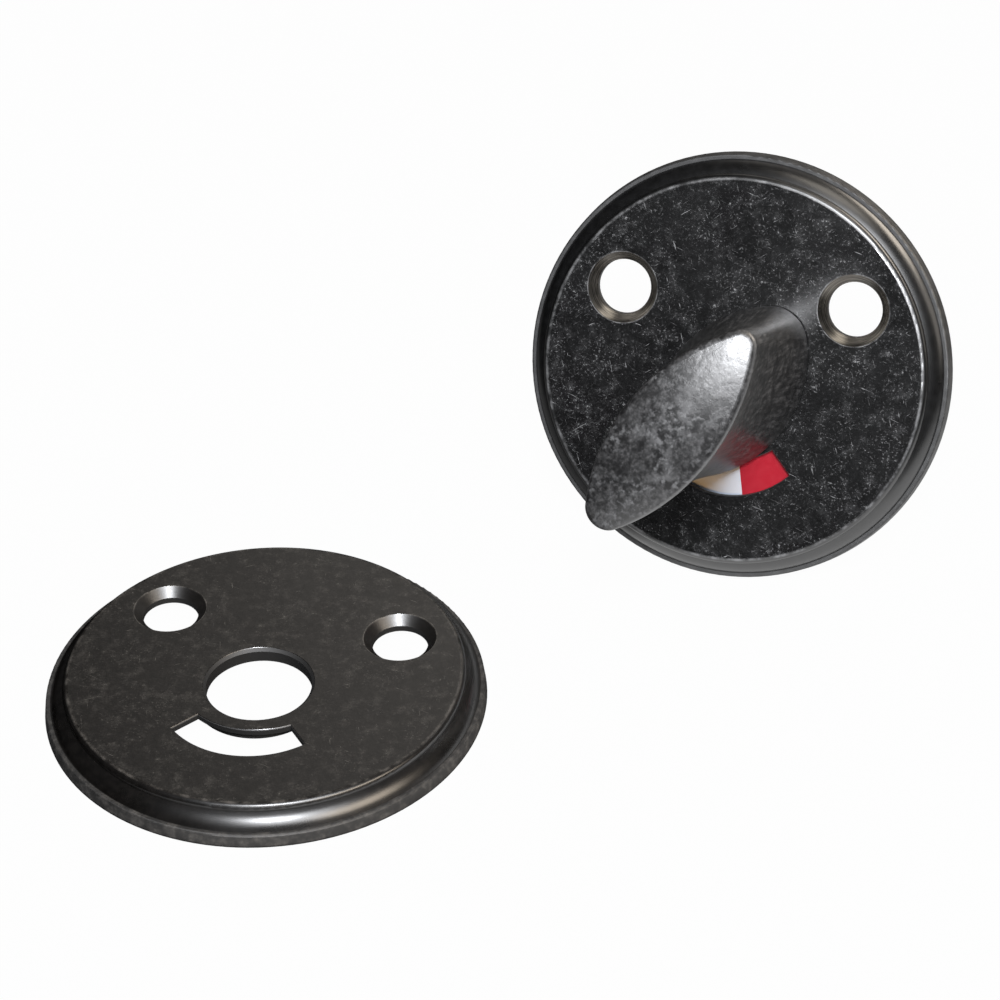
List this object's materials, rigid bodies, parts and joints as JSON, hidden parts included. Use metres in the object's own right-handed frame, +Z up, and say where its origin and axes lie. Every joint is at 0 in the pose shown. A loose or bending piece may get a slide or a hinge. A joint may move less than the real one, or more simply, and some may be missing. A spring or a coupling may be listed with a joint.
{
  "type": "bathroom thumb turn lock",
  "caption": "Black iron bathroom lock: a round moulded rose with an almond thumb turn and an arc indicator window, beside its matching bare outside rose.",
  "frame": {"origin": "centre of the outside rose's round back, on the table", "axes": "+Z up along the outside rose's bore, +X to the side of the leaning inside rose, +Y away from the side that its face looks to"},
  "size_m": [0.1141, 0.1019, 0.0503],
  "materials": {
    "inside_iron": "black, satin, cast",
    "outside_iron": "black, satin, cast",
    "turn_iron": "black, satin, cast",
    "white_nylon": "white, smooth",
    "red_film": "red, smooth",
    "bush_nylon": "natural, smooth",
    "spring_steel": "bright",
    "spindle_steel": "bright zinc"
  },
  "bodies": {
    "roses": {"inside_rose": "inside_iron", "neck_bush": "bush_nylon", "outside_rose": "outside_iron"},
    "turn": {"thumb_turn": "turn_iron", "indicator_disc": "white_nylon", "red_field": "red_film", "cone_spring": "spring_steel", "backing_washer": "spring_steel", "retaining_ring": "spring_steel", "spindle": "spindle_steel", "spindle_pin": "spring_steel"}
  },
  "joints": [
    {"name": "turn_hinge", "type": "hinge", "parent": "roses", "child": "turn", "pos_m": [0.06006, 0.03336, 0.02248], "axis": [-0.2922, -0.8578, 0.4229], "range_deg": [-55, 35]}
  ]
}
